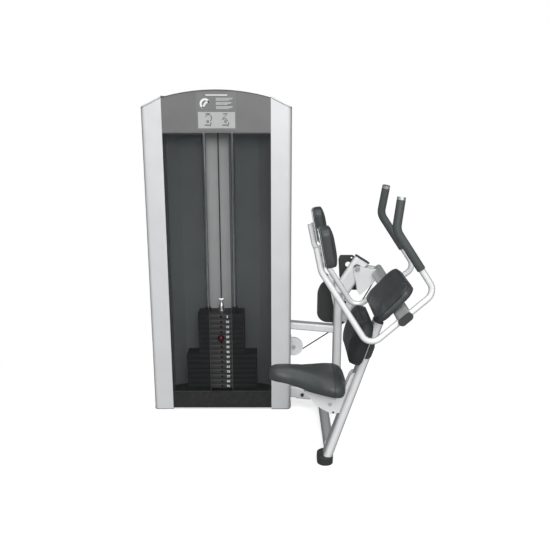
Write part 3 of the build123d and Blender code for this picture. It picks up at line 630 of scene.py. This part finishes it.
SIDES = ((-1, "near"), (1, "far"))
ELBOW_OUT = Vector((0.9823, 0, 0.1874))
ELBOW_UP = Vector((-0.1874, 0, 0.9823))
ELBOW_AXES = (Y_AXIS, ELBOW_UP, ELBOW_OUT)
ELBOW_W, ELBOW_H, ELBOW_R = 109, 148, 25
elbows = {}
for side, label in SIDES:
    center = Vector((161.5, SEAT_Y + side * 237.5, 1019.0)) + ELBOW_OUT * 2.2 - ELBOW_UP * 3.0
    center = place(*center)
    skin = pad(f"elbow_cushion_{label}", "elbow_pads", "swing_arm", center, ELBOW_AXES,
               width=ELBOW_W, height=ELBOW_H, corner=ELBOW_R, thick=51, crown=6, edge=9, cap=0.003)
    elbows[label] = (center, skin)

# ------------------------------------------------------------------ saddle seat
# x from nose to rear, half width, top z, bottom z
SEAT_SHAPE = [
    (-41, 1, 428, 410), (-39, 14, 434, 401), (-34, 28, 442, 394), (-23, 40, 448, 391),
    (-8, 49, 452, 388), (20, 56, 452, 385), (60, 65, 447, 379), (110, 86, 441, 368),
    (150, 107, 438, 359), (190, 128, 437, 352), (222, 138, 435.5, 346), (248, 140, 432, 342),
    (266, 134, 426.5, 342), (279, 118, 417, 348), (286, 92, 408, 359), (289, 50, 400, 376),
]
SEAT_XS, SEAT_HALF, SEAT_TOP, SEAT_BOTTOM = zip(*SEAT_SHAPE)
SECTION_XS = [-41, -39.5, -37, -33, -28, -23, -16, -8, *range(4, 262, 10),
              266, 272, 277, 281, 284.5, 287, 289]
SECTION_POINTS = 44


def seat_section(x):
    """Super-ellipse section, rounder above its widest line than below."""
    half = np.interp(x, SEAT_XS, SEAT_HALF)
    top = np.interp(x, SEAT_XS, SEAT_TOP)
    bottom = np.interp(x, SEAT_XS, SEAT_BOTTOM)
    mid = bottom + (top - bottom) * 0.42
    points = []
    for k in range(SECTION_POINTS):
        angle = 2 * math.pi * k / SECTION_POINTS
        ca, sa = math.cos(angle), math.sin(angle)
        limit, power_y, power_z = (top, 2.5, 2.1) if sa >= 0 else (bottom, 3.4, 2.4)
        y = half * math.copysign(abs(ca) ** (2 / power_y), ca)
        z = mid + (limit - mid) * abs(sa) ** (2 / power_z)
        points.append(place(x, SEAT_Y + y, z))
    return points


def seat_floor(p):
    local = (p - DATUM) * 1000
    return local.z < np.interp(local.x, SEAT_XS, SEAT_BOTTOM) + 5


def saddle_seat():
    verts = [p for x in SECTION_XS for p in seat_section(x)]
    shape = verts, ring_faces(len(SECTION_XS), SECTION_POINTS)
    seat = mesh_obj("saddle_seat", shape, "vinyl")
    soften(seat, seat_floor, cap=0.004)
    mount(seat, "frame")
    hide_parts("seat_pad")
    skin = skin_of(seat)

    arch = []
    for k in range(61):
        angle = math.pi * (k / 60)
        arch.append(place(236 + 10 * math.sin(angle), SEAT_Y + 150 * math.cos(angle),
                          372 + 90 * math.sin(angle) ** 0.55))
    seam("seat_rear_seam", skin, arch, "frame", closed=False, lift=0.0001)

    nose_x, rear_x = -34, 286
    loop = []
    for k in range(120):
        t = k / 120
        if t < 0.5:
            x, side = nose_x + (rear_x - nose_x) * (t * 2), 1
        else:
            x, side = rear_x - (rear_x - nose_x) * ((t - 0.5) * 2), -1
        loop.append(place(x, SEAT_Y + side * (np.interp(x, SEAT_XS, SEAT_HALF) + 1.5),
                          np.interp(x, SEAT_XS, SEAT_BOTTOM) + 9))
    seam("seat_lower_seam", skin, loop, "frame", stitch=False)


saddle_seat()


# ------------------------------------------------------------------ stack cable
def stack_cable():
    lift, radius = 0.137, 0.003   # metres
    lo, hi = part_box("stack_cable")
    x, y = (lo.x + hi.x) / 2, (lo.y + hi.y) / 2
    length = hi.z - lo.z
    run = tube([(x, y, lo.z + length * k / 40) for k in range(41)], radius, 12)
    obj = add("stack_cable_run", run, "cable", "frame")
    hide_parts("stack_cable")
    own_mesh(obj)


stack_cable()


# ------------------------------------------------------------------ dark cords under the column caps and round the column feet
def column_path(mirrored):
    """Foot outline of a column from its inner front corner along the front and outer side."""
    column = NODES["right_column"]
    points = set()
    for v in column.data.vertices:
        p = (column.matrix_world @ v.co - DATUM) * 1000.0
        if p.z < 0.5:
            points.add((round(p.x, 2), round(p.y, 2)))
    # sorted by angle about a point inside the column
    ring = sorted(points, key=lambda q: math.atan2(q[1] - 90.0, q[0] - 18.0))
    first = min(range(len(ring)), key=lambda i: (ring[i][0] - RIGHT_X) ** 2 + ring[i][1] ** 2)
    path = []
    for x, y in ring[first:] + ring[:first]:
        path.append((2 * STACK_X - x if mirrored else x, y))
        if y > 160:
            break
    return path


def dense_path(path, spacing=4):
    dense = []
    for (x0, y0), (x1, y1) in zip(path, path[1:]):
        steps = max(1, int(math.hypot(x1 - x0, y1 - y0) / spacing))
        dense += [(x0 + (x1 - x0) * i / steps, y0 + (y1 - y0) * i / steps) for i in range(steps)]
    return dense + [path[-1]]


def cap_z(x):
    """Cap joint height, falling from the inner face of a column outward."""
    return 1564.0 - 50.0 / 99.0 * (abs(x - STACK_X) - (RIGHT_X - STACK_X))


for label in ("right", "left"):
    path = dense_path(column_path(mirrored=label == "left"))
    # painted shadow: a dark cord along the cap joint stands for the shadow line under the cap lip
    add(f"{label}_cap_shadow_cord", tube([place(x, y, cap_z(x)) for x, y in path], 0.0011, 8),
        "rubber_black", "frame")
    # a dark cord round the foot of each column
    add(f"{label}_column_foot_cord", tube([place(x, y, 2.0) for x, y in path], 0.0016, 8),
        "rubber_black", "frame")


# ------------------------------------------------------------------ shield edge strips
def strip(x0, x1, z0, z1):
    """Thin edge strip on the y = 0 plane with a rounded front."""
    thick = 0.5
    level = (x1 - x0) > (z1 - z0)
    width = (z1 - z0) if level else (x1 - x0)
    # (across, forward)
    profile = [(0.0, 0.0), (0.0, thick * 0.6), (width * 0.25, thick), (width * 0.75, thick),
               (width, thick * 0.6), (width, 0.0)]
    verts = []
    for end in (0, 1):
        for across, forward in profile:
            if level:
                verts.append(place((x0, x1)[end], -forward, z0 + across))
            else:
                verts.append(place(x0 + across, -forward, (z0, z1)[end]))
    return verts, ring_faces(2, len(profile))


def shield_strips():
    bottom, top = 101.2, 1400.6
    half_gap = 55.0               # half the opening between the two shields
    parts = []
    for x0, x1 in ((LEFT_X, STACK_X - half_gap), (STACK_X + half_gap, RIGHT_X)):
        parts.append(strip(x0 + 1, x1 - 1, top - 2.4, top))
        parts.append(strip(x0 + 1, x1 - 1, bottom, bottom + 1.8))
    parts.append(strip(STACK_X - half_gap - 2.2, STACK_X - half_gap - 0.1, bottom, top))
    parts.append(strip(STACK_X + half_gap + 0.1, STACK_X + half_gap + 2.2, bottom, top))
    parts.append(strip(LEFT_X + 10.0, LEFT_X + 11.2, 104.0, 1397.0))
    parts.append(strip(RIGHT_X - 11.2, RIGHT_X - 10.0, 104.0, 1397.0))
    add("shield_edge_strips", merged(parts), "shield_edge", "frame", smooth=False)


shield_strips()


# ------------------------------------------------------------------ elbow cover staples
def elbow_staples(label):
    center, skin = elbows[label]
    ring = [on_pad(center, ELBOW_AXES, a, b, 2.4)
            for a, b in outline(ELBOW_W + 1.4, ELBOW_H + 1.4, ELBOW_R + 0.2, 30)]
    parts = []
    for _, point, along in walk(ring, start=0.004, step=0.0095):
        spot, normal, _, _ = skin.find_nearest(point)
        sunk, proud = normal * 0.0002, normal * 0.0006
        leg, crown = along * 0.0026, along * 0.0022
        parts.append(tube([spot - leg - sunk, spot - crown + proud,
                           spot + crown + proud, spot + leg - sunk], 0.0006, 6))
    add(f"elbow_staples_{label}", merged(parts), "staple", "swing_arm")


for _, label in SIDES:
    elbow_staples(label)


# ------------------------------------------------------------------ weld beads and plug
def bead(path, radius, phase, closed=False):
    """Weld bead: a cord whose width ripples along its length."""
    sides = 8
    verts, faces = tube(path, radius, sides, closed)
    for i, center in enumerate(path):
        swell = 1.0 + 0.16 * math.sin(i * 1.9 + phase)
        for j in range(i * sides, (i + 1) * sides):
            verts[j] = center + (verts[j] - center) * swell
    return verts, faces


def arm_welds():
    """Rings round each arm tube on both sides of the cross beam."""
    ring_r, beam_half = 12.6, 23.5
    parts = []
    for side, _ in SIDES:
        low = Vector((353.0, SEAT_Y + side * 250.0, 630.0))
        high = Vector((608.0, SEAT_Y + side * 200.0, 835.0))
        along = (high - low).normalized()
        across = along.cross(Y_AXIS).normalized()
        other = along.cross(across)
        for ring_x in (BEAM_X - beam_half, BEAM_X + beam_half):
            center = low + along * ((ring_x - low.x) / along.x)
            ring = []
            for i in range(48):
                angle = 2 * math.pi * i / 48
                spoke = across * math.cos(angle) + other * math.sin(angle)
                ring.append(place(*(center + spoke * ring_r)))
            parts.append(bead(ring, 0.0019, side + ring_x, closed=True))
    add("arm_weld_beads", merged(parts), "frame_silver", "swing_arm")


def bracket_welds():
    """Two lines up the front of the main tube, under the seat."""
    bottom, top = 252.0, 418.0
    parts = []
    for side, _ in SIDES:
        line = []
        for i in range(60):
            x, z = on_tube(bottom + (top - bottom) * i / 59, -19.6)
            line.append(place(x, SEAT_Y + side * 22.4, z))
        parts.append(bead(line, 0.0017, side))
    add("bracket_weld_beads", merged(parts), "frame_silver", "frame")


def bracket_plug():
    """Blind plug in the near bracket plate."""
    sides = 24
    profile = [(4.6, 0.0), (4.6, 0.8), (3.8, 1.6), (1.2, 1.8)]   # radius, height toward -Y
    verts = []
    for radius, height in profile:
        for k in range(sides):
            angle = 2 * math.pi * k / sides
            verts.append(place(241.0 + radius * math.cos(angle), SEAT_Y - 22.0 - height,
                               243.0 + radius * math.sin(angle)))
    shape = verts, ring_faces(len(profile), sides)
    add("bracket_plug", shape, "rubber_black", "frame")


arm_welds()
bracket_welds()
bracket_plug()

# ------------------------------------------------------------------ numerals on the plates
PLATE_NUMBERS = [*range(91, 34, -7), *range(30, 0, -5)]   # lowest plate first
FIXED_PLATES = 10                                         # the plates above these lift


def plate_numeral(i, number):
    text = bpy.data.curves.new(f"numeral_{number}", "FONT")
    text.body = str(number)
    text.size = 0.0165
    text.extrude = 0.00025
    text.offset = 0.0004
    text.resolution_u = 4
    text.align_x = "CENTER"
    text.align_y = "CENTER"
    holder = bpy.data.objects.new("t", text)
    scene.collection.objects.link(holder)
    graph = bpy.context.evaluated_depsgraph_get()
    mesh = bpy.data.meshes.new_from_object(holder.evaluated_get(graph))
    bpy.data.objects.remove(holder)
    upright = Matrix.Rotation(math.radians(90), 4, "X")
    spot = place(STACK_X + 32, 24.75, PLATE_Z + PLATE_PITCH * i + 13.4)
    mesh.transform(Matrix.Translation(spot) @ upright)
    mesh.materials.clear()
    mesh.materials.append(MAT["numeral"])
    obj = bpy.data.objects.new(f"stack_numeral_{number}", mesh)
    scene.collection.objects.link(obj)
    mount(obj, "frame" if i < FIXED_PLATES else "lifted_stack")


for i, number in enumerate(PLATE_NUMBERS):
    plate_numeral(i, number)

# ------------------------------------------------------------------ instruction plate
PLACARD_X0, PLACARD_X1 = STACK_X - 91.5, STACK_X + 96.5
PRINT_Y = -2.0         # face of the plate
SYMBOL_Y = -2.4        # face of the light window on it


def slab(x0, x1, z0, z1, y, thick, clip):
    """Thin raised print panel with clipped corners, facing -Y."""
    corners = [(x0 + clip, z0), (x1 - clip, z0), (x1, z0 + clip), (x1, z1 - clip),
               (x1 - clip, z1), (x0 + clip, z1), (x0, z1 - clip), (x0, z0 + clip)]
    verts = [place(x, face_y, z) for face_y in (y, y - thick) for x, z in corners]
    return verts, ring_faces(2, 8)


def stroke(points, half, y):
    """Flat stroke through (x, z) points, half its width to each side."""
    verts, faces = [], []
    count = len(points)
    for i, (x, z) in enumerate(points):
        before, after = points[max(i - 1, 0)], points[min(i + 1, count - 1)]
        dx, dz = after[0] - before[0], after[1] - before[1]
        length = math.hypot(dx, dz) or 1
        nx, nz = -dz / length * half, dx / length * half
        for face_y in (y, y - 0.4):
            verts.append(place(x + nx, face_y, z + nz))
            verts.append(place(x - nx, face_y, z - nz))
    for a in range(0, (count - 1) * 4, 4):
        b = a + 4
        faces += [(a, b, b + 1, a + 1), (a + 2, a + 3, b + 3, b + 2),
                  (a, a + 2, b + 2, b), (a + 1, b + 1, b + 3, a + 3)]
    end = (count - 1) * 4
    faces += [(0, 1, 3, 2), (end, end + 2, end + 3, end + 1)]
    return verts, faces


def arc(x, z, radius, start, stop):
    angles = [math.radians(start + (stop - start) * i / 16) for i in range(17)]
    return [(x + radius * math.cos(a), z + radius * math.sin(a)) for a in angles]


def add_print(name, parts, material):
    add(name, merged(parts), material, "frame", smooth=False)


def machine_symbol(x, leaning):
    """Seat, back and swing arm with a turning arc, a ring and a title bar."""
    parts = [stroke([(x - 14, 1440), (x + 8, 1440)], 2.4, SYMBOL_Y),
             stroke([(x + 10, 1434), (x + 17, 1452)], 2.2, SYMBOL_Y)]
    if leaning:
        arm = [(x + 12, 1458), (x + 2, 1470), (x - 12, 1466)]
        turn = arc(x + 12, 1458, 26, 105, 165)
    else:
        arm = [(x + 14, 1458), (x + 20, 1474), (x + 12, 1486)]
        turn = arc(x + 12, 1458, 30, 95, 140)
    parts.append(stroke(arm, 1.8, SYMBOL_Y))
    parts.append(stroke(turn, 1.2, SYMBOL_Y))
    parts.append(stroke(arc(x + 1, 1456, 4.5, 0, 360), 1.6, SYMBOL_Y))
    parts.append(slab(x - 10, x + 12, 1488.5, 1493.0, SYMBOL_Y, thick=0.4, clip=2.0))
    return parts


def placard():
    left = PLACARD_X0
    window = slab(left + 8, PLACARD_X1 - 8, 1425.5, 1499, PRINT_Y, thick=0.4, clip=1.0)
    add_print("placard_window", [window], "placard_light")

    # three groups of three text rules, then the heading bar
    rules = []
    for top, shorter in ((1562, 0), (1543, 6), (1524, 0)):
        for k, length in enumerate((78, 74, 60)):
            z = top - k * 4.6
            rules.append(slab(left + 92, left + 92 + length - shorter, z - 1.6, z,
                              PRINT_Y, thick=0.3, clip=0.4))
    rules.append(slab(left + 44, left + 146, 1572.5, 1577.5, PRINT_Y, thick=0.3, clip=2.0))
    add_print("placard_rules", rules, "placard_white")

    symbols = machine_symbol(left + 52, leaning=False) + machine_symbol(left + 134, leaning=True)
    add_print("placard_symbols", symbols, "placard_ink")
    sweep = [(left + 30, 1516), (left + 44, 1540), (left + 62, 1548)]
    add_print("placard_emblem", [stroke(arc(left + 42, 1536, 20, 20, 250), 5.0, PRINT_Y),
                                 stroke(sweep, 4.5, PRINT_Y)], "placard_white")


placard()

# ------------------------------------------------------------------ stage, light, camera
FLOOR_GLOW = 0.50      # emission of the floor near the machine, as the camera sees it
FLOOR_BOUNCE = 0.45    # floor grey as every other ray sees it
AMBIENT = 0.43         # sky strength


def floor_material():
    """Softly shadowed white near the machine, fading to plain white; grey to other rays."""
    tree = new_material("floor_white")
    vector = node(tree, "TexCoord").outputs["Object"]
    patches = ramp(tree, noise(tree, vector, scale=3.0, detail=4.0), lo=0.3, hi=0.7)
    matt = node(tree, "BsdfPrincipled", {
        "Base Color": mix(tree, patches, (0.93,) * 3, (0.95,) * 3),
        "Roughness": 0.9, "Specular IOR Level": 0.1})
    glow = node(tree, "Emission", {"Strength": FLOOR_GLOW})
    near = node(tree, "AddShader", {0: matt.outputs[0], 1: glow.outputs[0]})
    far = node(tree, "Emission", {"Strength": 1.0})
    distance = node(tree, "VectorMath", {0: vector}, operation="LENGTH").outputs["Value"]
    fade = ramp(tree, distance, lo=0.9, hi=1.9)
    seen = mix_shader(tree, fade, near.outputs[0], far.outputs[0])
    bounce = node(tree, "BsdfDiffuse", {"Color": (FLOOR_BOUNCE,) * 3})
    camera_ray = node(tree, "LightPath").outputs["Is Camera Ray"]
    shader = mix_shader(tree, camera_ray, bounce.outputs[0], seen)
    node(tree, "OutputMaterial", {"Surface": shader})


def studio_world():
    """Sky brighter from the upper front; the camera itself sees white."""
    world = bpy.data.worlds.new("studio")
    scene.world = world
    tree = empty_tree(world)
    vector = node(tree, "TexCoord").outputs["Generated"]
    toward = node(tree, "VectorMath", {0: vector, 1: (0.12, -0.80, 0.59)},
                  operation="DOT_PRODUCT").outputs["Value"]
    strength = ramp(tree, toward, lo=-0.35, hi=1.0,
                    out_lo=AMBIENT * 0.36, out_hi=AMBIENT * 1.75)
    sky = node(tree, "Background", {"Color": (0.97, 0.985, 1.0), "Strength": strength})
    white = node(tree, "Background", {"Color": (1, 1, 1), "Strength": 1.0})
    camera_ray = node(tree, "LightPath").outputs["Is Camera Ray"]
    shader = mix_shader(tree, camera_ray, sky.outputs[0], white.outputs[0])
    node(tree, "OutputWorld", {"Surface": shader})


def area_light(name, location, target, size, power):
    """Rectangular light; places and size in metres, power in watts."""
    light = bpy.data.lights.new(name, "AREA")
    light.shape = "RECTANGLE"
    light.size, light.size_y = size
    light.energy = power
    obj = bpy.data.objects.new(name, light)
    scene.collection.objects.link(obj)
    obj.location = location
    aim = Vector(target) - Vector(location)
    obj.rotation_euler = aim.to_track_quat("-Z", "Y").to_euler()


def view_camera():
    lens_mm, shift_x, tilt_down = 43.46181818, -0.00454545455, 14.46
    camera = bpy.data.cameras.new("view")
    obj = bpy.data.objects.new("view", camera)
    scene.collection.objects.link(obj)
    obj.location = place(0, -3165, 1536)
    obj.rotation_euler = (math.radians(90 - tilt_down), 0, 0)
    camera.sensor_width = 36.0
    camera.lens = lens_mm
    camera.shift_x = shift_x
    scene.camera = obj


floor_material()
FLOOR_HALF, FLOOR_Z = 60, -0.0005   # metres
floor_corners = [(x * FLOOR_HALF, y * FLOOR_HALF, FLOOR_Z)
                 for x, y in ((-1, -1), (1, -1), (1, 1), (-1, 1))]
mesh_obj("floor", (floor_corners, [(0, 1, 2, 3)]), "floor_white", smooth=False)
studio_world()
area_light("key", location=(0.3, -4.4, 3.4), target=(0, 0, 0.8), size=(2.2, 2.2), power=118)
area_light("top", location=(0.2, -0.6, 4.2), target=(0.1, 0, 0.6), size=(3.0, 3.0), power=44)
area_light("fill", location=(2.2, -4.2, 1.6), target=(0.1, 0, 0.7), size=(1.6, 2.4), power=12)
view_camera()
scene.view_settings.view_transform = "Standard"
scene.view_settings.look = "None"
